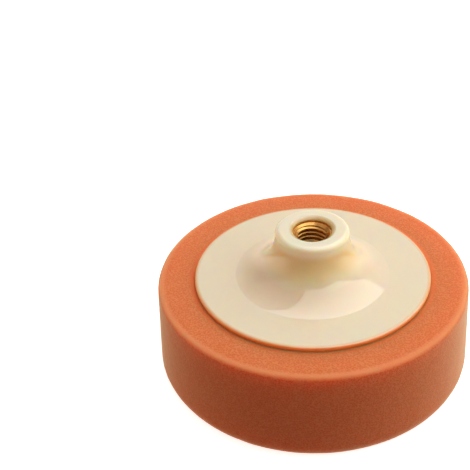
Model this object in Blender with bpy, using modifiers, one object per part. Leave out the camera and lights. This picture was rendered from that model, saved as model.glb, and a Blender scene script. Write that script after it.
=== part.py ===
"""Foam polishing pad for a rotary polisher.

A foam disc is bonded to a moulded plate, and the plate is moulded around a
threaded brass insert that screws onto the machine's spindle.

Metres, +Z up. The pad stands on its polishing face. The origin is the centre
of that face, and +Z is the spindle axis, from the foam to the hub.
"""

from math import acos, asin, atan, ceil, cos, pi, radians, sin, tan

import bmesh
import bpy
from mathutils import Matrix, Vector

INCH = 0.0254

# Foam disc
FOAM_DIAMETER = 0.150  # at the polishing side
FOAM_THICKNESS = 0.050
FOAM_TAPER = 0.0012  # the mounting side is this much smaller in radius
POLISHING_EDGE_RADIUS = 0.0105
MOUNTING_EDGE_RADIUS = 0.0025
SEAT_EDGE_RADIUS = 0.0004  # where the plate presses the foam down

# Bond between the foam and the plate
BOND_THICKNESS = 0.0005
BOND_MARGIN = 0.0010  # the film stops this far inside the plate's rim
PLATE_SINK = 0.0002  # the plate's underside lies this far below the foam's face
CONTACT_GAP = 0.0003  # between pieces that touch

# Spindle thread, 5/8-11 UNC
THREAD_MAJOR_DIAMETER = 5 / 8 * INCH
THREAD_PITCH = INCH / 11
THREAD_HEIGHT = 0.5413 * THREAD_PITCH  # of the cut flanks, a 60 degree form
THREAD_ROOT_FLAT = THREAD_PITCH / 8
THREAD_START = radians(1.9)  # where the helix starts, round the axis

# Brass insert, moulded into the hub
INSERT_WALL = 0.00306  # outside the thread's major diameter
COUNTERSINK_MARGIN = 0.0012  # of the 45 degree mouths, outside the major diameter
KNURL_TEETH = 32
KNURL_DEPTH = 0.0005
INSERT_GROOVE_WIDTH = 0.003  # it keeps the insert from pulling out
INSERT_GROOVE_DEPTH = 0.0012
INSERT_END_CHAMFER = 0.0006

# Backing plate, from its underside upwards
PLATE_DIAMETER = 0.1125
PLATE_HEIGHT = 0.0277
RIM_THICKNESS = 0.0022
RIM_EDGE_RADIUS = 0.0008
FLANGE_RISE = 0.0003  # of the flange's top, from the rim to the dome
DOME_DIAMETER = 0.073
DOME_SWEEP = radians(82)  # short of a quarter turn, which leaves a faint crease
HUB_DIAMETER = 0.035
HUB_EDGE_RADIUS = 0.0025
HUB_COLLAR = 0.0006  # straight wall below the hub's rounded edge
MOUTH_DEPTH = 0.0023  # from the hub's top to the insert
MOUTH_CHAMFER_WIDTH = 0.00185
MOUTH_CHAMFER_DEPTH = 0.0012
MOUTH_ROUNDING = 0.0006

# Hollow underside of the plate
SPINDLE_TIP_SPACE = 0.0030
INSERT_SHELF = 0.0016  # plastic under the insert
BOSS_WALL = 0.0027  # around the insert
DOME_WALL = 0.0028
CORE_DEPTH = 0.0090
CORE_INSET = 0.0055  # the hollow's outer wall, inside the dome's edge
RIB_COUNT = 12
RIB_THICKNESS = 0.0016
RIB_OVERLAP = 0.0005  # how far a rib's ends run into the walls

# Worked out from the sizes above
FOAM_RADIUS = FOAM_DIAMETER / 2
PLATE_RADIUS = PLATE_DIAMETER / 2
DOME_RADIUS = DOME_DIAMETER / 2
HUB_RADIUS = HUB_DIAMETER / 2
MAJOR_RADIUS = THREAD_MAJOR_DIAMETER / 2
MINOR_RADIUS = MAJOR_RADIUS - THREAD_HEIGHT
INSERT_RADIUS = MAJOR_RADIUS + INSERT_WALL
MOUTH_RADIUS = MAJOR_RADIUS + COUNTERSINK_MARGIN
POCKET_RADIUS = INSERT_RADIUS + CONTACT_GAP
BOSS_RADIUS = POCKET_RADIUS + BOSS_WALL
CORE_RADIUS = DOME_RADIUS - CORE_INSET

PLATE_BASE = FOAM_THICKNESS - PLATE_SINK
BOND_TOP = PLATE_BASE - CONTACT_GAP
BOND_BASE = BOND_TOP - BOND_THICKNESS
SEAT_FLOOR = BOND_BASE - CONTACT_GAP
RIM_TOP = PLATE_BASE + RIM_THICKNESS
DOME_EDGE = RIM_TOP + FLANGE_RISE
HUB_TOP = PLATE_BASE + PLATE_HEIGHT
NECK_TOP = HUB_TOP - HUB_EDGE_RADIUS - HUB_COLLAR
BOSS_BASE = PLATE_BASE + SPINDLE_TIP_SPACE
INSERT_BASE = BOSS_BASE + INSERT_SHELF + CONTACT_GAP
INSERT_TOP = HUB_TOP - MOUTH_DEPTH
CORE_TOP = PLATE_BASE + CORE_DEPTH

# The dome's section is part of an ellipse, upright where it leaves the hub
FLARE_WIDTH = (DOME_RADIUS - HUB_RADIUS) / (1 - cos(DOME_SWEEP))
FLARE_HEIGHT = (NECK_TOP - DOME_EDGE) / sin(DOME_SWEEP)

ROUND_STEPS = 64
THREAD_STEPS = 32
FLARE_STEPS = 10
ARC_STEP = radians(18)
CUTTER_REACH = 0.002  # how far a cutter runs past what it cuts
WELD_DISTANCE = 0.00001

TITLE = "polishing_pad"


def clear_scene():
    for thing in list(bpy.data.objects):
        bpy.data.objects.remove(thing, do_unlink=True)


def collection(name):
    made = bpy.data.collections.new(name)
    bpy.context.scene.collection.children.link(made)
    return made


def finish(name, colour, roughness, metallic=0.0):
    material = bpy.data.materials.new(name)
    material.use_nodes = True
    shader = material.node_tree.nodes["Principled BSDF"]
    shader.inputs["Base Color"].default_value = (*colour, 1)
    shader.inputs["Roughness"].default_value = roughness
    shader.inputs["Metallic"].default_value = metallic
    return material


def as_part(thing, material):
    parts.objects.link(thing)
    thing.data.materials.append(material)
    return thing


def as_cutter(thing):
    cutters.objects.link(thing)
    thing.hide_render = True
    thing.display_type = "WIRE"
    return thing


def combine(thing, cutter, operation="DIFFERENCE"):
    boolean = thing.modifiers.new(f"{operation.lower()} {cutter.name}", "BOOLEAN")
    boolean.operation = operation
    boolean.solver = "EXACT"
    boolean.object = cutter


def frozen(thing):
    """The object's mesh with its modifiers applied, which it then holds itself."""
    bpy.context.scene.collection.objects.link(thing)
    evaluated = thing.evaluated_get(bpy.context.evaluated_depsgraph_get())
    data = bpy.data.meshes.new_from_object(evaluated)
    bpy.context.scene.collection.objects.unlink(thing)
    thing.modifiers.clear()
    thing.data = data
    return data


def smooth(thing, angle=radians(35)):
    mesh = frozen(thing)
    mesh.shade_smooth()
    mesh.set_sharp_from_angle(angle=angle)


def rounded(corners):
    """A profile's points, from its corners (radius, height, rounding)."""
    points = []
    for index, (radius, height, rounding) in enumerate(corners):
        corner = Vector((radius, height))
        if rounding == 0:
            points.append(corner)
            continue
        back = (Vector(corners[index - 1][:2]) - corner).normalized()
        ahead = (Vector(corners[index + 1][:2]) - corner).normalized()
        half = back.angle(ahead) / 2
        centre = corner + (back + ahead).normalized() * rounding / sin(half)
        spoke = corner + back * rounding / tan(half) - centre
        turn = pi - 2 * half
        if back.cross(ahead) > 0:
            turn = -turn
        steps = ceil(abs(turn) / ARC_STEP)
        for step in range(steps + 1):
            points.append(centre + Matrix.Rotation(turn * step / steps, 2) @ spoke)
    return points


def turned(name, points, steps=ROUND_STEPS, ring=False):
    """A solid of revolution, from a profile that runs down its outer side.

    The profile runs from the axis back to the axis, or round a ring's section.
    """
    mesh = bpy.data.meshes.new(name)
    edges = [(index, index + 1) for index in range(len(points) - 1)]
    if ring:
        edges.append((len(points) - 1, 0))
    mesh.from_pydata([(x, 0, z) for x, z in points], edges, [])
    thing = bpy.data.objects.new(name, mesh)
    screw = thing.modifiers.new("turn", "SCREW")
    screw.steps = screw.render_steps = steps
    screw.use_merge_vertices = True
    screw.merge_threshold = WELD_DISTANCE
    screw.use_smooth_shade = False
    return thing


def flare(sweep, offset=0.0):
    """A point of the dome's section, or of a curve at an offset inside it."""
    centre = Vector((HUB_RADIUS + FLARE_WIDTH, NECK_TOP))
    across = (FLARE_WIDTH + offset) * cos(sweep)
    down = (FLARE_HEIGHT + offset) * sin(sweep)
    return centre - Vector((across, down))


def foam_disc():
    """Open-cell foam, soft at the polishing edge, with a shallow pressed seat."""
    seat_radius = PLATE_RADIUS + CONTACT_GAP
    lean = atan(FOAM_TAPER / FOAM_THICKNESS)
    # The sharp corner lies outside the foam, which is widest on its rounded edge
    corner_radius = FOAM_RADIUS + POLISHING_EDGE_RADIUS * (1 / tan((pi / 2 - lean) / 2) - 1)
    profile = rounded([
        (0, SEAT_FLOOR, 0),
        (seat_radius, SEAT_FLOOR, 0),
        (seat_radius, FOAM_THICKNESS, SEAT_EDGE_RADIUS),
        (corner_radius - FOAM_TAPER, FOAM_THICKNESS, MOUNTING_EDGE_RADIUS),
        (corner_radius, 0, POLISHING_EDGE_RADIUS),
        (0, 0, 0),
    ])
    disc = turned("foam_disc", profile)
    return as_part(disc, finish("polyurethane_foam", (0.74, 0.25, 0.09), 0.95))


def adhesive_layer():
    """The film of contact adhesive between the foam and the plate."""
    bond_radius = PLATE_RADIUS - BOND_MARGIN
    film = turned("adhesive_layer", [
        Vector((0, BOND_TOP)),
        Vector((bond_radius, BOND_TOP)),
        Vector((bond_radius, BOND_BASE)),
        Vector((0, BOND_BASE)),
    ])
    return as_part(film, finish("contact_adhesive", (0.62, 0.42, 0.16), 0.5))


def plate_blank():
    """The plate's outer form, before the insert's pocket and the hollow."""
    dome = [flare(DOME_SWEEP * step / FLARE_STEPS) for step in range(FLARE_STEPS + 1)]
    hub = rounded([
        (0, HUB_TOP, 0),
        (HUB_RADIUS, HUB_TOP, HUB_EDGE_RADIUS),
        (HUB_RADIUS, NECK_TOP, 0),
    ])
    rim = rounded([
        (DOME_RADIUS, DOME_EDGE, 0),
        (PLATE_RADIUS, RIM_TOP, RIM_EDGE_RADIUS),
        (PLATE_RADIUS, PLATE_BASE, 0),
        (0, PLATE_BASE, 0),
    ])
    return turned("backing_plate", hub + dome[1:] + rim[1:])


def insert_pocket():
    """The space in the hub for the insert, with the ring that fills its groove."""
    groove_radius = POCKET_RADIUS - INSERT_GROOVE_DEPTH
    groove_middle = (INSERT_TOP + INSERT_BASE) / 2
    ring_half = INSERT_GROOVE_WIDTH / 2 - CONTACT_GAP
    chamfer_base = HUB_TOP - MOUTH_CHAMFER_DEPTH
    chamfer_slope = MOUTH_CHAMFER_WIDTH / MOUTH_CHAMFER_DEPTH
    above = (MOUTH_RADIUS + MOUTH_CHAMFER_WIDTH + CUTTER_REACH * chamfer_slope, HUB_TOP + CUTTER_REACH)
    return as_cutter(turned("insert_pocket", rounded([
        (0, above[1], 0),
        (*above, 0),
        (MOUTH_RADIUS, chamfer_base, MOUTH_ROUNDING),
        (MOUTH_RADIUS, INSERT_TOP + CONTACT_GAP, 0),
        (POCKET_RADIUS, INSERT_TOP + CONTACT_GAP, 0),
        (POCKET_RADIUS, groove_middle + ring_half, 0),
        (groove_radius, groove_middle + ring_half, 0),
        (groove_radius, groove_middle - ring_half, 0),
        (POCKET_RADIUS, groove_middle - ring_half, 0),
        (POCKET_RADIUS, INSERT_BASE - CONTACT_GAP, 0),
        (MOUTH_RADIUS, INSERT_BASE - CONTACT_GAP, 0),
        (MOUTH_RADIUS, BOSS_BASE - CUTTER_REACH, 0),
        (0, BOSS_BASE - CUTTER_REACH, 0),
    ])))


def ribs():
    """Radial ribs across the hollow, from the boss to the hollow's outer wall."""
    mesh = bmesh.new()
    inner = BOSS_RADIUS - RIB_OVERLAP
    outer = CORE_RADIUS + RIB_OVERLAP
    base = PLATE_BASE - 2 * CUTTER_REACH
    top = CORE_TOP + CUTTER_REACH
    size = Matrix.Diagonal((outer - inner, RIB_THICKNESS, top - base, 1))
    place = Matrix.Translation(((outer + inner) / 2, 0, (top + base) / 2))
    for index in range(RIB_COUNT):
        turn = Matrix.Rotation(2 * pi * (index + 0.5) / RIB_COUNT, 4, "Z")
        bmesh.ops.create_cube(mesh, size=1, matrix=turn @ place @ size)
    data = bpy.data.meshes.new("ribs")
    mesh.to_mesh(data)
    mesh.free()
    return as_cutter(bpy.data.objects.new("ribs", data))


def underside_core():
    """The hollow under the dome, which keeps the moulding's walls even."""
    base = PLATE_BASE - CUTTER_REACH
    inner_start = HUB_RADIUS - DOME_WALL
    top_sweep = asin((NECK_TOP - CORE_TOP) / (FLARE_HEIGHT + DOME_WALL))
    wall_sweep = acos(1 - (CORE_RADIUS - inner_start) / (FLARE_WIDTH + DOME_WALL))
    roof = []
    for step in range(FLARE_STEPS // 2 + 1):
        sweep = top_sweep + (wall_sweep - top_sweep) * step * 2 / FLARE_STEPS
        roof.append(flare(sweep, DOME_WALL))
    core = as_cutter(turned("underside_core", [
        Vector((0, BOSS_BASE)),
        Vector((BOSS_RADIUS, BOSS_BASE)),
        Vector((BOSS_RADIUS, CORE_TOP)),
        *roof,
        Vector((CORE_RADIUS, base)),
        Vector((0, base)),
    ]))
    combine(core, ribs())
    return core


def backing_plate():
    """Injection-moulded nylon plate: flange, dome and hub in one piece."""
    plate = plate_blank()
    combine(plate, insert_pocket())
    combine(plate, underside_core())
    return as_part(plate, finish("moulded_nylon", (0.86, 0.74, 0.55), 0.28))


def insert_blank():
    """The insert before its thread is cut: bore, countersinks, groove and knurl."""
    groove_radius = INSERT_RADIUS - INSERT_GROOVE_DEPTH
    middle = (INSERT_TOP + INSERT_BASE) / 2
    groove_top = middle + INSERT_GROOVE_WIDTH / 2
    hub_side = [
        (MINOR_RADIUS, INSERT_TOP - (MOUTH_RADIUS - MINOR_RADIUS)),
        (MOUTH_RADIUS, INSERT_TOP),
        (INSERT_RADIUS - INSERT_END_CHAMFER, INSERT_TOP),
        (INSERT_RADIUS, INSERT_TOP - INSERT_END_CHAMFER),
        (INSERT_RADIUS, groove_top),
        (groove_radius, groove_top),
    ]
    plate_side = [(radius, 2 * middle - height) for radius, height in reversed(hub_side)]
    blank = turned("threaded_insert", hub_side + plate_side, 2 * KNURL_TEETH, ring=True)
    tooth_angle = 2 * pi / KNURL_TEETH
    root_scale = 1 - KNURL_DEPTH / INSERT_RADIUS
    for vertex in frozen(blank).vertices:
        at_tips = vertex.co.xy.length > INSERT_RADIUS - WELD_DISTANCE
        angle = Vector((1, 0)).angle_signed(vertex.co.xy)
        if at_tips and round(2 * angle / tooth_angle) % 2:
            vertex.co.x *= root_scale
            vertex.co.y *= root_scale
    return blank


def thread_cutter():
    """The ridge that cuts the thread: its section is swept along the helix."""
    slope = tan(radians(30))
    root_half = THREAD_ROOT_FLAT / 2
    inside = THREAD_HEIGHT / 4  # the ridge starts this far inside the minor radius
    base_half = root_half + (THREAD_HEIGHT + inside) * slope
    start = INSERT_BASE - THREAD_PITCH
    section = [
        (MINOR_RADIUS - inside, 0, start + base_half),
        (MAJOR_RADIUS, 0, start + root_half),
        (MAJOR_RADIUS, 0, start - root_half),
        (MINOR_RADIUS - inside, 0, start - base_half),
    ]
    mesh = bpy.data.meshes.new("thread_cutter")
    mesh.from_pydata(section, [(0, 1), (1, 2), (2, 3), (3, 0)], [])
    ridge = bpy.data.objects.new("thread_cutter", mesh)
    screw = ridge.modifiers.new("helix", "SCREW")
    screw.steps = screw.render_steps = THREAD_STEPS
    screw.iterations = ceil((INSERT_TOP - INSERT_BASE) / THREAD_PITCH) + 2
    screw.screw_offset = THREAD_PITCH
    screw.merge_threshold = WELD_DISTANCE
    swept = frozen(ridge)
    mesh = bmesh.new()
    mesh.from_mesh(swept)
    bmesh.ops.holes_fill(mesh, edges=[edge for edge in mesh.edges if edge.is_boundary])
    bmesh.ops.triangulate(mesh, faces=mesh.faces)
    bmesh.ops.recalc_face_normals(mesh, faces=mesh.faces)
    mesh.to_mesh(swept)
    mesh.free()
    ridge.rotation_euler.z = THREAD_START
    return as_cutter(ridge)


def threaded_insert():
    """Brass insert: a straight knurl outside, the spindle's thread inside."""
    insert = insert_blank()
    combine(insert, thread_cutter())
    return as_part(insert, finish("brass", (0.72, 0.46, 0.17), 0.3, 1.0))


clear_scene()
parts = collection(TITLE)
cutters = collection("cutters")
for piece in (foam_disc(), adhesive_layer(), backing_plate(), threaded_insert()):
    smooth(piece)
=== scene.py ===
"""Foam polishing pad: a foam disc bonded to a moulded plate with a threaded insert."""
from math import acos, asin, ceil, cos, pi, radians, sin, tan

import bpy
from mathutils import Matrix, Vector


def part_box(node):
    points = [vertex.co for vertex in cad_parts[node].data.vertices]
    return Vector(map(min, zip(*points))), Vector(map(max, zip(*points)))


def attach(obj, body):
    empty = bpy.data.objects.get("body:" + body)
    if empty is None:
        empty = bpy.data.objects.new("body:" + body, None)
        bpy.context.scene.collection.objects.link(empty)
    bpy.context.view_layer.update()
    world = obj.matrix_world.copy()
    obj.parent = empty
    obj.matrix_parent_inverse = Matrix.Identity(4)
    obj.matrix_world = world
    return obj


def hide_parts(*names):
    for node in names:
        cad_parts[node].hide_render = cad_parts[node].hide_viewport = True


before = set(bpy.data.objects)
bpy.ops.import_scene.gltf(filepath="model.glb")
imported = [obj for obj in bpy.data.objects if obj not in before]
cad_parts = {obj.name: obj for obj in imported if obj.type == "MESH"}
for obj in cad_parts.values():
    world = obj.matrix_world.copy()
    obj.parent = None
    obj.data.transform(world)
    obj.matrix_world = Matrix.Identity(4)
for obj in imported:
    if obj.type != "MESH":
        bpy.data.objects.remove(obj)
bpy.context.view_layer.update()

bpy.ops.object.select_all(action="DESELECT")

# ---------------------------------------------------------------------------
# Threaded insert
# A sleeve of free-machining brass, turned from bar and tapped 5/8-11 UNC for
# the polisher's spindle. A straight knurl and a groove lock it in the hub.
# ---------------------------------------------------------------------------
INCH = 0.0254
THREAD_PITCH = INCH / 11
THREAD_MAJOR_RADIUS = 5 / 16 * INCH
THREAD_HEIGHT = 0.5413 * THREAD_PITCH
THREAD_ROOT_FLAT = THREAD_PITCH / 8
THREAD_MINOR_RADIUS = THREAD_MAJOR_RADIUS - THREAD_HEIGHT
THREAD_FLANK_SLOPE = tan(radians(30))
CREST_ROUNDING = 0.00008     # left on the thread's crests by the tap
ROOT_ROUNDING = 0.00010
SHOULDER_WIDTH = 0.00012     # of the tap's ridge, beside the crests that it rounds
SHOULDER_SINK = 0.00002
FLANK_FOOT_RISE = 0.00005
FLANK_FOOT_INSET = 0.00003
RIDGE_FOOT = 0.0006          # the tap's ridge begins this far inside the bore's wall
THREAD_STEPS = 96
THREAD_START = radians(1.9)  # round the axis
COUNTERSINK_MARGIN = 0.0005  # outside the thread's major radius
COUNTERSINK_RADIUS = THREAD_MAJOR_RADIUS + COUNTERSINK_MARGIN
COUNTERSINK_ROUNDING = 0.00015
MOUTH_MARGIN = 0.0012        # of the hub's mouth, outside the thread's major radius
KNURL_TEETH = 32
KNURL_DEPTH = 0.0005
KNURL_SHAPE = (0, 0.6, 1, 0.6)  # the share of the depth at each quarter of a tooth
GROOVE_WIDTH = 0.003
GROOVE_DEPTH = 0.0012
GROOVE_ROUNDING = 0.0002
END_CHAMFER = 0.0006
EDGE_BREAK = 0.0001          # what the turning tool leaves on an edge
CONTACT_GAP = 0.0003         # between pieces that touch
ARC_STEP = radians(9)
HOLD = 0.00008               # a ring each side of a rounding keeps the flats beside it flat
WELD = 0.000002              # points nearer than this are one

insert_low, insert_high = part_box("threaded_insert")
INSERT_BASE = insert_low.z
INSERT_TOP = insert_high.z
INSERT_RADIUS = insert_high.x
MOUTH_RADIUS = THREAD_MAJOR_RADIUS + MOUTH_MARGIN


def rounded(corners, ring=False):
    """A section's points, from its corners (radius, height, rounding)."""
    points = []
    count = len(corners)
    for index, (radius, height, rounding) in enumerate(corners):
        corner = Vector((radius, height))
        if rounding == 0:
            points.append(corner)
            continue
        back = (Vector(corners[index - 1][:2]) - corner).normalized()
        ahead = (Vector(corners[(index + 1) % count][:2]) - corner).normalized()
        half = back.angle(ahead) / 2
        centre = corner + (back + ahead).normalized() * rounding / sin(half)
        spoke = corner + back * rounding / tan(half) - centre
        turn = pi - 2 * half
        if back.cross(ahead) > 0:
            turn = -turn
        steps = ceil(abs(turn) / ARC_STEP)
        reach = rounding / tan(half) + HOLD
        points.append(corner + back * reach)
        for step in range(steps + 1):
            points.append(centre + Matrix.Rotation(turn * step / steps, 2) @ spoke)
        points.append(corner + ahead * reach)
    return points + points[:1] if ring else points


def outline(name, points):
    """A chain of edges in the XZ plane: one point, extruded from each to the next."""
    bpy.ops.object.select_all(action="DESELECT")
    bpy.ops.mesh.primitive_plane_add(size=0.01)
    piece = bpy.context.object
    piece.name = piece.data.name = name
    bpy.ops.object.mode_set(mode="EDIT")
    bpy.ops.mesh.merge(type="CENTER")
    bpy.ops.transform.translate(value=(points[0].x, 0, points[0].y))
    for start, end in zip(points, points[1:]):
        step = (end.x - start.x, 0, end.y - start.y)
        bpy.ops.mesh.extrude_region_move(TRANSFORM_OT_translate={"value": step})
    bpy.ops.mesh.select_all(action="SELECT")
    bpy.ops.object.mode_set(mode="OBJECT")
    return piece


def only(piece):
    """Selects this piece alone, and makes it the active one."""
    bpy.ops.object.select_all(action="DESELECT")
    piece.select_set(True)
    bpy.context.view_layer.objects.active = piece


def swept(piece, steps, turns=1, rise=0.0):
    """Sweeps an outline round the spindle axis; one that rises has its two ends filled."""
    only(piece)
    screw = piece.modifiers.new("sweep", "SCREW")
    screw.steps = screw.render_steps = steps
    screw.iterations = turns
    screw.screw_offset = rise
    screw.use_merge_vertices = rise == 0
    screw.merge_threshold = WELD
    bpy.ops.object.modifier_apply(modifier=screw.name)
    bpy.ops.object.mode_set(mode="EDIT")
    bpy.ops.mesh.select_all(action="SELECT")
    bpy.ops.mesh.remove_doubles(threshold=WELD)
    if rise:
        bpy.ops.mesh.select_all(action="DESELECT")
        bpy.ops.mesh.select_non_manifold()
        bpy.ops.mesh.fill()
    bpy.ops.mesh.select_all(action="SELECT")
    bpy.ops.mesh.normals_make_consistent(inside=False)
    bpy.ops.object.mode_set(mode="OBJECT")


def turned(name, points, steps):
    """A turned piece: its section goes once round."""
    piece = outline(name, points)
    swept(piece, steps)
    return piece


def combine(piece, tool, operation):
    """Cuts the piece with the tool, or joins the tool to it, and clears the tool away."""
    only(piece)
    boolean = piece.modifiers.new(operation, "BOOLEAN")
    boolean.operation = operation
    boolean.object = tool
    bpy.ops.object.modifier_apply(modifier=boolean.name)
    bpy.data.objects.remove(tool)


def soften(piece, angle=radians(35)):
    """Shades a piece smooth, apart from edges sharper than the angle."""
    only(piece)
    bpy.ops.object.shade_smooth_by_angle(angle=angle)


middle = (INSERT_TOP + INSERT_BASE) / 2
groove_radius = INSERT_RADIUS - GROOVE_DEPTH
hub_side = [
    (THREAD_MINOR_RADIUS, INSERT_TOP - (COUNTERSINK_RADIUS - THREAD_MINOR_RADIUS), EDGE_BREAK),
    (COUNTERSINK_RADIUS, INSERT_TOP, COUNTERSINK_ROUNDING),
    (INSERT_RADIUS - END_CHAMFER, INSERT_TOP, EDGE_BREAK),
    (INSERT_RADIUS, INSERT_TOP - END_CHAMFER, 0),
    (INSERT_RADIUS, middle + GROOVE_WIDTH / 2, 0),
    (groove_radius, middle + GROOVE_WIDTH / 2, GROOVE_ROUNDING),
]
plate_side = [(radius, 2 * middle - height, rounding) for radius, height, rounding in reversed(hub_side)]
insert = turned("brass_insert", rounded(hub_side + plate_side, ring=True), 4 * KNURL_TEETH)

# Straight knurl: every point between two teeth is drawn in, at two depths
only(insert)
tooth_angle = 2 * pi / KNURL_TEETH
for vertex in insert.data.vertices:
    if vertex.co.xy.length > INSERT_RADIUS - WELD:
        quarter = round(4 * Vector((1, 0)).angle_signed(vertex.co.xy) / tooth_angle) % 4
        depth = KNURL_SHAPE[quarter] * KNURL_DEPTH
        vertex.co.xy *= 1 - depth / INSERT_RADIUS

# The tap's ridge cuts the thread, and its shoulders round the thread's crests
ridge_half = THREAD_ROOT_FLAT / 2
shoulder_half = ridge_half + THREAD_HEIGHT * THREAD_FLANK_SLOPE
upper_half = [
    (THREAD_MAJOR_RADIUS, ridge_half, ROOT_ROUNDING),
    (THREAD_MINOR_RADIUS + FLANK_FOOT_RISE, shoulder_half - FLANK_FOOT_INSET, 0),
    (THREAD_MINOR_RADIUS - SHOULDER_SINK, shoulder_half + SHOULDER_WIDTH, CREST_ROUNDING),
    (THREAD_MINOR_RADIUS - RIDGE_FOOT, shoulder_half + SHOULDER_WIDTH, 0),
]
lower_half = [(radius, -height, rounding) for radius, height, rounding in reversed(upper_half)]
section = rounded(lower_half + upper_half, ring=True)
start = Vector((0, INSERT_BASE - THREAD_PITCH))
ridge = outline("tap_ridge", [point + start for point in section])
swept(ridge, THREAD_STEPS, ceil((INSERT_TOP - INSERT_BASE) / THREAD_PITCH) + 2, THREAD_PITCH)
bpy.ops.object.mode_set(mode="EDIT")
bpy.ops.transform.rotate(value=THREAD_START, orient_axis="Z", center_override=(0, 0, 0))
bpy.ops.object.mode_set(mode="OBJECT")
combine(insert, ridge, "DIFFERENCE")
soften(insert)


def linear(colour):
    """A colour's linear RGBA, from its sRGB hex value."""
    shares = [int(colour[place:place + 2], 16) / 255 for place in (1, 3, 5)]
    light = [((share + 0.055) / 1.055) ** 2.4 if share > 0.04045 else share / 12.92 for share in shares]
    return (*light, 1)


def node(tree, kind, inputs=(), **settings):
    """Adds a node: settings are its properties, and inputs its values or links."""
    made = tree.nodes.new(kind)
    for name, value in settings.items():
        setattr(made, name, value)
    for name, value in dict(inputs).items():
        if isinstance(value, bpy.types.NodeSocket):
            tree.links.new(value, made.inputs[name])
        else:
            made.inputs[name].default_value = value
    return made


def material(name):
    """A new material, and its node tree with nothing in it."""
    made = bpy.data.materials.new(name)
    made.use_nodes = True
    made.node_tree.nodes.clear()
    return made, made.node_tree


def dress(piece, finish):
    """Gives the whole piece one material."""
    piece.data.materials.clear()
    piece.data.materials.append(finish)


def free_machining_brass():
    """Cut brass: bright yellow metal, stained brown in patches a few millimetres across."""
    made, tree = material("free_machining_brass")
    place = node(tree, "ShaderNodeTexCoord").outputs["Object"]
    # Turning marks run round the axis, 0.15 mm apart
    stretched = node(tree, "ShaderNodeMapping", {"Vector": place, "Scale": (120, 120, 6600)})
    marks = node(tree, "ShaderNodeTexNoise", {"Vector": stretched.outputs[0], "Scale": 1, "Detail": 3})
    stain = node(tree, "ShaderNodeTexNoise", {"Vector": place, "Scale": 260, "Detail": 4, "Roughness": 0.6})
    shade = node(tree, "ShaderNodeMix", {
        "Factor": stain.outputs["Fac"],
        6: linear("#F2C472"),
        7: linear("#BE7C36"),
    }, data_type="RGBA")
    rough = node(tree, "ShaderNodeMapRange", {"Value": marks.outputs["Fac"], "To Min": 0.18, "To Max": 0.36})
    relief = node(tree, "ShaderNodeBump", {
        "Height": marks.outputs["Fac"],
        "Strength": 0.25,
        "Distance": 0.00004,
    })
    shader = node(tree, "ShaderNodeBsdfPrincipled", {
        "Base Color": shade.outputs[2],
        "Metallic": 1.0,
        "Roughness": rough.outputs[0],
        "Normal": relief.outputs[0],
    })
    node(tree, "ShaderNodeOutputMaterial", {"Surface": shader.outputs[0]})
    return made


dress(insert, free_machining_brass())
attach(insert, "root")
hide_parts("threaded_insert")

# ---------------------------------------------------------------------------
# Backing plate
# Natural nylon 6, injection-moulded round the insert in one shot: a thin
# flange, a flared dome and a thick hub. Ribs stiffen its hollow underside.
# ---------------------------------------------------------------------------
RIM_THICKNESS = 0.0022
RIM_EDGE_RADIUS = 0.0011
RIM_FOOT_ROUNDING = 0.0002
FLANGE_RISE = 0.0003
DOME_RADIUS = 0.0365
DOME_SWEEP = radians(82)
CREASE_ROUNDING = 0.0012     # where the dome meets the flange
HUB_RADIUS = 0.0175
HUB_EDGE_RADIUS = 0.0025
HUB_COLLAR = 0.0006
MOUTH_CHAMFER_WIDTH = 0.00185
MOUTH_CHAMFER_DEPTH = 0.0012
MOUTH_ROUNDING = 0.0006
MOUTH_EDGE_ROUNDING = 0.0003
SPINDLE_TIP_SPACE = 0.0030
BOSS_WALL = 0.0027
DOME_WALL = 0.0028
CORE_DEPTH = 0.0090
CORE_INSET = 0.0055
RIB_COUNT = 12
RIB_THICKNESS = 0.0016
RIB_OVERLAP = 0.0005
CUTTER_REACH = 0.002
FLARE_STEPS = 36
PLATE_STEPS = 240

plate_low, plate_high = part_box("backing_plate")
PLATE_BASE = plate_low.z
HUB_TOP = plate_high.z
PLATE_RADIUS = plate_high.x
RIM_TOP = PLATE_BASE + RIM_THICKNESS
DOME_EDGE = RIM_TOP + FLANGE_RISE
NECK_TOP = HUB_TOP - HUB_EDGE_RADIUS - HUB_COLLAR
FLARE_WIDTH = (DOME_RADIUS - HUB_RADIUS) / (1 - cos(DOME_SWEEP))
FLARE_HEIGHT = (NECK_TOP - DOME_EDGE) / sin(DOME_SWEEP)
POCKET_RADIUS = INSERT_RADIUS + CONTACT_GAP
BOSS_RADIUS = POCKET_RADIUS + BOSS_WALL
CORE_RADIUS = DOME_RADIUS - CORE_INSET
CORE_TOP = PLATE_BASE + CORE_DEPTH
NYLON_TONES_AND_PAINTED_LIGHT = [             # by radius: cream nylon, with painted light: the brass's glow at the mouth, a lighter band round the hub's side, and the foam's orange glow on the rim
    (0.0095, "#D9AE68"),
    (0.0114, "#ECE5CC"),
    (0.0160, "#ECE5CC"),
    (HUB_RADIUS, "#F8F0CC"),
    (0.0250, "#F1D7B6"),
    (DOME_RADIUS, "#F4DDC1"),
    (PLATE_RADIUS - 0.0020, "#F4DDC1"),
    (PLATE_RADIUS - 0.0008, "#ECBE90"),
    (PLATE_RADIUS, "#FF8A40"),
]
NECK_SHADE_START = 0.0030    # the neck's painted shade turns it golden between these depths under the hub's top
NECK_SHADE_FULL = 0.0070
NECK_SHADE_OUTSIDE = 0.0245  # and between these radii
NECK_SHADE_INSIDE = 0.0185
POLISH_WAVE = 0.0125         # the mould's polish leaves a slow waviness this far across


def flare(sweep, inside=0.0):
    """A point of the dome's section, or of a curve at a distance inside it."""
    across = (FLARE_WIDTH + inside) * cos(sweep)
    down = (FLARE_HEIGHT + inside) * sin(sweep)
    return (HUB_RADIUS + FLARE_WIDTH - across, NECK_TOP - down, 0)


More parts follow.
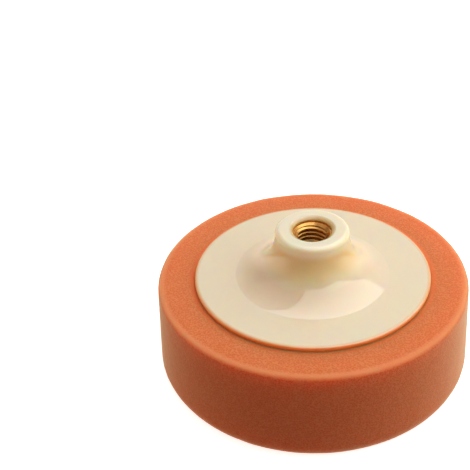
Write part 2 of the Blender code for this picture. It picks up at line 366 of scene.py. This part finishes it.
def plate_section():
    """The moulding's section, from the mouth over the dome and back up the pocket."""
    dome = [flare(DOME_SWEEP * step / FLARE_STEPS) for step in range(FLARE_STEPS)]
    ring_half = GROOVE_WIDTH / 2 - CONTACT_GAP
    ring_radius = POCKET_RADIUS - GROOVE_DEPTH
    return rounded([
        (MOUTH_RADIUS, INSERT_TOP + CONTACT_GAP, 0),
        (MOUTH_RADIUS, HUB_TOP - MOUTH_CHAMFER_DEPTH, MOUTH_ROUNDING),
        (MOUTH_RADIUS + MOUTH_CHAMFER_WIDTH, HUB_TOP, MOUTH_EDGE_ROUNDING),
        (HUB_RADIUS, HUB_TOP, HUB_EDGE_RADIUS),
        *dome,
        (DOME_RADIUS, DOME_EDGE, CREASE_ROUNDING),
        (PLATE_RADIUS, RIM_TOP, RIM_EDGE_RADIUS),
        (PLATE_RADIUS, PLATE_BASE, RIM_FOOT_ROUNDING),
        (MOUTH_RADIUS, PLATE_BASE, 0),
        (MOUTH_RADIUS, INSERT_BASE - CONTACT_GAP, 0),
        (POCKET_RADIUS, INSERT_BASE - CONTACT_GAP, 0),
        (POCKET_RADIUS, middle - ring_half, 0),
        (ring_radius, middle - ring_half, 0),
        (ring_radius, middle + ring_half, 0),
        (POCKET_RADIUS, middle + ring_half, 0),
        (POCKET_RADIUS, INSERT_TOP + CONTACT_GAP, 0),
    ], ring=True)


def ribs():
    """The ribs across the hollow, each a bar that is turned to its place."""
    inner = BOSS_RADIUS - RIB_OVERLAP
    outer = CORE_RADIUS + RIB_OVERLAP
    base = PLATE_BASE - 2 * CUTTER_REACH
    top = CORE_TOP + CUTTER_REACH
    bars = []
    for index in range(RIB_COUNT):
        bpy.ops.mesh.primitive_cube_add(size=1, location=((inner + outer) / 2, 0, (base + top) / 2))
        bpy.ops.object.mode_set(mode="EDIT")
        bpy.ops.transform.resize(value=(outer - inner, RIB_THICKNESS, top - base))
        turn = 2 * pi * (index + 0.5) / RIB_COUNT
        bpy.ops.transform.rotate(value=turn, orient_axis="Z", center_override=(0, 0, 0))
        bpy.ops.object.mode_set(mode="OBJECT")
        bars.append(bpy.context.object)
    for bar in bars:
        bar.select_set(True)
    bpy.ops.object.join()
    return bpy.context.object


def underside_core():
    """The mould's core, which leaves the hollow with its ribs."""
    roof_start = asin((NECK_TOP - CORE_TOP) / (FLARE_HEIGHT + DOME_WALL))
    wall_start = HUB_RADIUS - DOME_WALL
    roof_end = acos(1 - (CORE_RADIUS - wall_start) / (FLARE_WIDTH + DOME_WALL))
    sweep = roof_end - roof_start
    steps = FLARE_STEPS // 2
    roof = [flare(roof_start + sweep * step / steps, DOME_WALL) for step in range(steps + 1)]
    core = turned("underside_core", rounded([
        (0, PLATE_BASE + SPINDLE_TIP_SPACE, 0),
        (BOSS_RADIUS, PLATE_BASE + SPINDLE_TIP_SPACE, 0),
        (BOSS_RADIUS, CORE_TOP, 0),
        *roof,
        (CORE_RADIUS, PLATE_BASE - CUTTER_REACH, 0),
        (0, PLATE_BASE - CUTTER_REACH, 0),
    ]), PLATE_STEPS)
    combine(core, ribs(), "DIFFERENCE")
    return core


plate = turned("nylon_plate", plate_section(), PLATE_STEPS)
combine(plate, underside_core(), "DIFFERENCE")
soften(plate, radians(30))


def axis_distance(tree, place):
    """A point's distance from the spindle axis."""
    flat = node(tree, "ShaderNodeVectorMath", {0: place, 1: (1, 1, 0)}, operation="MULTIPLY")
    return node(tree, "ShaderNodeVectorMath", {0: flat.outputs[0]}, operation="LENGTH").outputs["Value"]


def natural_nylon():
    """Unfilled nylon 6, glossy from the mould: cream and cloudy, with painted shade and glow, golden at the
    neck and the mouth and orange at the rim.
    """
    made, tree = material("natural_nylon_6")
    place = node(tree, "ShaderNodeTexCoord").outputs["Object"]
    radius = axis_distance(tree, place)
    share = node(tree, "ShaderNodeMath", {0: radius, 1: PLATE_RADIUS}, operation="DIVIDE")
    # Painted light: the ramp paints the brass's glow at the mouth, a lighter hub side and the foam's orange
    # glow on the rim
    shade = node(tree, "ShaderNodeValToRGB", {"Fac": share.outputs[0]})
    stops = shade.color_ramp.elements
    for reach, colour in NYLON_TONES_AND_PAINTED_LIGHT[1:-1]:
        stops.new(reach / PLATE_RADIUS)
    for stop, (reach, colour) in zip(stops, NYLON_TONES_AND_PAINTED_LIGHT):
        stop.position = reach / PLATE_RADIUS
        stop.color = linear(colour)
    # Painted shade and glow: the neck, thick and in the hub's shade, is painted golden
    height = node(tree, "ShaderNodeSeparateXYZ", {0: place})
    under = node(tree, "ShaderNodeMapRange", {
        "Value": height.outputs["Z"],
        "From Min": HUB_TOP - NECK_SHADE_START,
        "From Max": HUB_TOP - NECK_SHADE_FULL,
    }, interpolation_type="SMOOTHSTEP")
    beside = node(tree, "ShaderNodeMapRange", {
        "Value": radius,
        "From Min": NECK_SHADE_OUTSIDE,
        "From Max": NECK_SHADE_INSIDE,
    }, interpolation_type="SMOOTHSTEP")
    neck = node(tree, "ShaderNodeMath", {0: under.outputs[0], 1: beside.outputs[0]}, operation="MULTIPLY")
    cream = node(tree, "ShaderNodeMix", {
        "Factor": neck.outputs[0],
        6: shade.outputs["Color"],
        7: linear("#F5DDA4"),
    }, data_type="RGBA")
    waves = node(tree, "ShaderNodeTexNoise", {"Vector": place, "Scale": 1 / POLISH_WAVE, "Detail": 1})
    relief = node(tree, "ShaderNodeBump", {
        "Height": waves.outputs["Fac"],
        "Strength": 0.2,
        "Distance": 0.0004,
    })
    shader = node(tree, "ShaderNodeBsdfPrincipled", {
        "Base Color": cream.outputs[2],
        "Roughness": 0.05,
        "IOR": 1.53,
        "Specular IOR Level": 0.95,
        "Subsurface Weight": 1.0,
        "Subsurface Radius": (1.0, 0.6, 0.25),
        "Subsurface Scale": 0.005,
        "Normal": relief.outputs[0],
    })
    node(tree, "ShaderNodeOutputMaterial", {"Surface": shader.outputs[0]})
    return made


dress(plate, natural_nylon())
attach(plate, "root")
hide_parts("backing_plate")

# ---------------------------------------------------------------------------
# Adhesive film
# Flexible contact adhesive, rolled on the foam and the plate and pressed
# together while it is tacky. It stops just inside the plate's rim.
# ---------------------------------------------------------------------------
film_low, film_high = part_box("adhesive_layer")
FILM_EDGE_RADIUS = 0.0002
FILM_STEPS = 160

film = turned("adhesive_film", rounded([
    (0, film_high.z, 0),
    (film_high.x, film_high.z, FILM_EDGE_RADIUS),
    (film_high.x, film_low.z, FILM_EDGE_RADIUS),
    (0, film_low.z, 0),
]), FILM_STEPS)
soften(film, radians(50))


def contact_adhesive():
    """Dried contact adhesive: pale, rubbery and streaked by the roller."""
    made, tree = material("contact_adhesive")
    place = node(tree, "ShaderNodeTexCoord").outputs["Object"]
    streaks = node(tree, "ShaderNodeMapping", {"Vector": place, "Scale": (60, 500, 60)})
    rolled = node(tree, "ShaderNodeTexNoise", {"Vector": streaks.outputs[0], "Scale": 1, "Detail": 3})
    shade = node(tree, "ShaderNodeMix", {
        "Factor": rolled.outputs["Fac"],
        6: linear("#F3DDBB"),
        7: linear("#FBEBD2"),
    }, data_type="RGBA")
    relief = node(tree, "ShaderNodeBump", {
        "Height": rolled.outputs["Fac"],
        "Strength": 0.4,
        "Distance": 0.0001,
    })
    shader = node(tree, "ShaderNodeBsdfPrincipled", {
        "Base Color": shade.outputs[2],
        "Roughness": 0.45,
        "Subsurface Weight": 1.0,
        "Subsurface Radius": (1.0, 0.7, 0.4),
        "Subsurface Scale": 0.003,
        "Normal": relief.outputs[0],
    })
    node(tree, "ShaderNodeOutputMaterial", {"Surface": shader.outputs[0]})
    return made


dress(film, contact_adhesive())
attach(film, "root")
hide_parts("adhesive_layer")

# ---------------------------------------------------------------------------
# Foam disc
# Open-cell polyurethane foam, cut from a block and rounded at the polishing
# edge. The plate is bonded in a shallow seat that it presses into the foam.
# ---------------------------------------------------------------------------
FOAM_TAPER = 0.0012
POLISHING_EDGE_RADIUS = 0.0105
MOUNTING_EDGE_RADIUS = 0.0025
SEAT_EDGE_RADIUS = 0.00015
FOAM_ROW = 0.00085           # between the mesh's rings, under the size of a cell
FOAM_STEPS = 530
CELL = 0.0008                # coarser than the real cells, so that they show
CELL_DEPTH = 0.00012
CUT_WAVE = 0.014             # the blade's slow wander
CUT_WAVE_DEPTH = 0.0003
SEAT_GAP = 0.00004           # between the plate's rim and the foam
PRESSED_WIDTH = 0.0016       # beside the seat the foam is pressed smooth
EDGE_HIGHLIGHT_START = 0.0050          # the painted highlight pales the top's outer edge between these distances from the side
EDGE_HIGHLIGHT_FULL = 0.0020
EDGE_HIGHLIGHT_DEPTH = 0.0020          # and between these depths under the top
EDGE_HIGHLIGHT_TOP = 0.0006
RIM_GLOW_REACH = 0.0030          # the painted glow beside the plate's rim fades out this far beyond the seat
RIM_GLOW_FULL = 0.0004           # and is full to here

foam_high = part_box("foam_disc")[1]
FOAM_RADIUS = foam_high.x
FOAM_TOP = foam_high.z
SEAT_FLOOR = film_low.z - CONTACT_GAP
SEAT_RADIUS = PLATE_RADIUS + SEAT_GAP


def foam_section():
    """The disc's section, with its long runs split to the length of a row."""
    lean = FOAM_TAPER / FOAM_TOP
    corner = FOAM_RADIUS + POLISHING_EDGE_RADIUS * lean
    sparse = rounded([
        (0, SEAT_FLOOR, 0),
        (SEAT_RADIUS, SEAT_FLOOR, 0),
        (SEAT_RADIUS, FOAM_TOP, SEAT_EDGE_RADIUS),
        (corner - FOAM_TAPER, FOAM_TOP, MOUNTING_EDGE_RADIUS),
        (corner, 0, POLISHING_EDGE_RADIUS),
        (0, 0, 0),
    ])
    points = sparse[:2]
    for start, end in zip(sparse[1:], sparse[2:]):
        parts = max(1, round((end - start).length / FOAM_ROW))
        points += [start.lerp(end, part / parts) for part in range(1, parts + 1)]
    return points


foam = turned("foam_disc_body", foam_section(), FOAM_STEPS)


def roughen(piece, name, kind, size, depth, group, **settings):
    """Sinks a pattern into the surface: its highest points stay where they are."""
    pattern = bpy.data.textures.new(name, kind)
    pattern.noise_scale = size
    for key, value in settings.items():
        setattr(pattern, key, value)
    displace = piece.modifiers.new(name, "DISPLACE")
    displace.texture = pattern
    displace.texture_coords = "LOCAL"
    displace.strength = depth
    displace.mid_level = 1.0
    displace.vertex_group = group.name
    only(piece)
    bpy.ops.object.modifier_apply(modifier=displace.name)


open_faces = foam.vertex_groups.new(name="open_faces")
free = []
for vertex in foam.data.vertices:
    in_seat = vertex.co.xy.length < SEAT_RADIUS + PRESSED_WIDTH and vertex.co.z > SEAT_FLOOR - WELD
    if not in_seat:
        free.append(vertex.index)
open_faces.add(free, 1.0, "REPLACE")
roughen(foam, "cut_wander", "CLOUDS", CUT_WAVE, CUT_WAVE_DEPTH, open_faces)
roughen(foam, "open_cells", "VORONOI", CELL, CELL_DEPTH, open_faces)
soften(foam, radians(180))


def polyurethane_foam():
    """Dyed open-cell foam: matt and grainy with cells, with painted shade down inside them, a painted
    highlight on the top's outer edge and painted glow beside the plate's rim.
    """
    made, tree = material("polyurethane_foam")
    place = node(tree, "ShaderNodeTexCoord").outputs["Object"]
    cells = node(tree, "ShaderNodeTexVoronoi", {"Vector": place, "Scale": 1 / CELL})
    # Painted shade: each cell is painted darker and redder towards its middle, down inside the pore
    painted_pore_shade = node(tree, "ShaderNodeMapRange", {
        "Value": cells.outputs["Distance"],
        "From Min": 0.15,
        "From Max": 0.75,
    })
    shade = node(tree, "ShaderNodeMix", {
        "Factor": painted_pore_shade.outputs[0],
        6: linear("#CC6332"),
        7: linear("#DB7D4B"),
    }, data_type="RGBA")
    # Painted highlight: the top's outer edge is painted paler, where the light from behind catches it
    radius = axis_distance(tree, place)
    height = node(tree, "ShaderNodeSeparateXYZ", {0: place})
    outer = node(tree, "ShaderNodeMapRange", {
        "Value": radius,
        "From Min": FOAM_RADIUS - EDGE_HIGHLIGHT_START,
        "From Max": FOAM_RADIUS - EDGE_HIGHLIGHT_FULL,
    })
    upper = node(tree, "ShaderNodeMapRange", {
        "Value": height.outputs["Z"],
        "From Min": FOAM_TOP - EDGE_HIGHLIGHT_DEPTH,
        "From Max": FOAM_TOP - EDGE_HIGHLIGHT_TOP,
    })
    edge = node(tree, "ShaderNodeMath", {0: outer.outputs[0], 1: upper.outputs[0]}, operation="MULTIPLY")
    painted_edge_highlight = node(tree, "ShaderNodeMix", {
        "Factor": edge.outputs[0],
        6: shade.outputs[2],
        7: linear("#E39161"),
    }, data_type="RGBA")
    # Painted light: within this reach of the seat the foam is painted a deeper, redder orange at every
    # height of the disc, in place of the light that it scatters into the shade beside the rim
    beside = node(tree, "ShaderNodeMapRange", {
        "Value": radius,
        "From Min": SEAT_RADIUS + RIM_GLOW_REACH,
        "From Max": SEAT_RADIUS + RIM_GLOW_FULL,
    })
    painted_rim_glow = node(tree, "ShaderNodeMix", {
        "Factor": beside.outputs[0],
        6: painted_edge_highlight.outputs[2],
        7: linear("#FF6A34"),
    }, data_type="RGBA")
    relief = node(tree, "ShaderNodeBump", {
        "Height": cells.outputs["Distance"],
        "Strength": 0.22,
        "Distance": 0.00025,
    })
    shader = node(tree, "ShaderNodeBsdfPrincipled", {
        "Base Color": painted_rim_glow.outputs[2],
        "Roughness": 0.95,
        "Specular IOR Level": 0.2,
        "Sheen Weight": 1.0,
        "Sheen Tint": (1.0, 0.86, 0.58, 1),
        "Sheen Roughness": 0.4,
        "Subsurface Weight": 1.0,
        "Subsurface Radius": (1.0, 0.25, 0.12),
        "Subsurface Scale": 0.02,
        "Normal": relief.outputs[0],
    })
    node(tree, "ShaderNodeOutputMaterial", {"Surface": shader.outputs[0]})
    return made


dress(foam, polyurethane_foam())
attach(foam, "root")
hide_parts("foam_disc")

# ---------------------------------------------------------------------------
# Studio
# A plain pale floor, a large softbox high over the pad and to its right, and a
# weaker, warmer one on its left. The camera looks down on the hub from the front.
# ---------------------------------------------------------------------------
CAMERA_DISTANCE = 0.600
CAMERA_ELEVATION = radians(36.607)
CAMERA_YAW = 0.06166         # the pad stands right of the frame's middle
CAMERA_PITCH = 0.03257       # and below it
CAMERA_LENS = 95.85
FLOOR_SIZE = 24.0
FLOOR_DROP = 0.0002          # the floor lies this far under the pad
SOFTBOX_HEIGHT = 1.05

bpy.ops.object.select_all(action="DESELECT")
bpy.ops.mesh.primitive_plane_add(size=FLOOR_SIZE, location=(0, 0, -FLOOR_DROP))
floor = bpy.context.object
floor.name = "studio_floor"
paper, tree = material("white_paper")
shader = node(tree, "ShaderNodeBsdfPrincipled", {
    "Base Color": linear("#F4F4F2"),
    "Roughness": 0.9,
    "Emission Color": linear("#FFFFFF"),
    "Emission Strength": 0.8,
})
node(tree, "ShaderNodeOutputMaterial", {"Surface": shader.outputs[0]})
dress(floor, paper)
floor.visible_diffuse = False   # what the table sends up is in the room's light, below
floor.visible_glossy = False


def softbox(name, left, right, front, back, watts, colour=(1, 1, 1)):
    """A level softbox over the pad, between these places across and along the table."""
    data = bpy.data.lights.new(name, "AREA")
    data.shape = "RECTANGLE"
    data.size = right - left
    data.size_y = back - front
    data.energy = watts
    data.color = colour
    lamp = bpy.data.objects.new(name, data)
    bpy.context.collection.objects.link(lamp)
    lamp.location = ((left + right) / 2, (front + back) / 2, SOFTBOX_HEIGHT)


softbox("key", left=-0.25, right=1.75, front=-0.95, back=1.05, watts=18)
softbox("fill", left=-1.80, right=-0.32, front=-1.00, back=0.65, watts=3.4, colour=(1.0, 0.86, 0.80))

# Above: pale walls on the right, a dim warm room on the left. Below: the table's bounce, and
# dark cloth towards the camera.
WALL_LIGHT = (0.60, 0.59, 0.58, 1)
BOUNCE_LIGHT = (1.26, 1.00, 0.82, 1)
ROOM_LIGHT = (0.17, 0.10, 0.08, 1)
DARK_CLOTH = (0.10, 0.03, 0.025, 1)
world = bpy.data.worlds.new("studio_walls")
world.use_nodes = True
air = world.node_tree
heading = node(air, "ShaderNodeTexCoord").outputs["Generated"]


def along(direction, start, end):
    """How far a heading goes along a direction, from 0 at the start to 1 at the end."""
    reach = node(air, "ShaderNodeVectorMath", {0: heading, 1: direction}, operation="DOT_PRODUCT")
    share = node(air, "ShaderNodeMapRange", {
        "Value": reach.outputs["Value"],
        "From Min": start,
        "From Max": end,
    }, interpolation_type="SMOOTHSTEP")
    return share.outputs[0]


above = node(air, "ShaderNodeMix", {
    "Factor": along((0.90, 0.43, 0), -0.20, 0.40),
    6: ROOM_LIGHT,
    7: WALL_LIGHT,
}, data_type="RGBA")
below = node(air, "ShaderNodeMix", {
    "Factor": along((0, 1, 0), -0.70, 0.05),
    6: DARK_CLOTH,
    7: BOUNCE_LIGHT,
}, data_type="RGBA")
around = node(air, "ShaderNodeMix", {
    "Factor": along((0, 0, 1), -0.15, 0.45),
    6: below.outputs[2],
    7: above.outputs[2],
}, data_type="RGBA")
air.links.new(around.outputs[2], air.nodes["Background"].inputs["Color"])
bpy.context.scene.world = world
bpy.context.scene.view_settings.view_transform = "Standard"

target = Vector((0, 0, FOAM_TOP))
toward_camera = Vector((0, -cos(CAMERA_ELEVATION), sin(CAMERA_ELEVATION)))
lens = bpy.data.cameras.new("studio_camera")
lens.lens = CAMERA_LENS
lens.clip_start = 0.01
lens.clip_end = 50
camera = bpy.data.objects.new("studio_camera", lens)
bpy.context.collection.objects.link(camera)
camera.location = target + toward_camera * CAMERA_DISTANCE
aimed = toward_camera.to_track_quat("Z", "Y").to_matrix()
turned_aside = Matrix.Rotation(CAMERA_YAW, 3, "Y") @ Matrix.Rotation(CAMERA_PITCH, 3, "X")
camera.rotation_euler = (aimed @ turned_aside).to_euler()
bpy.context.scene.camera = camera
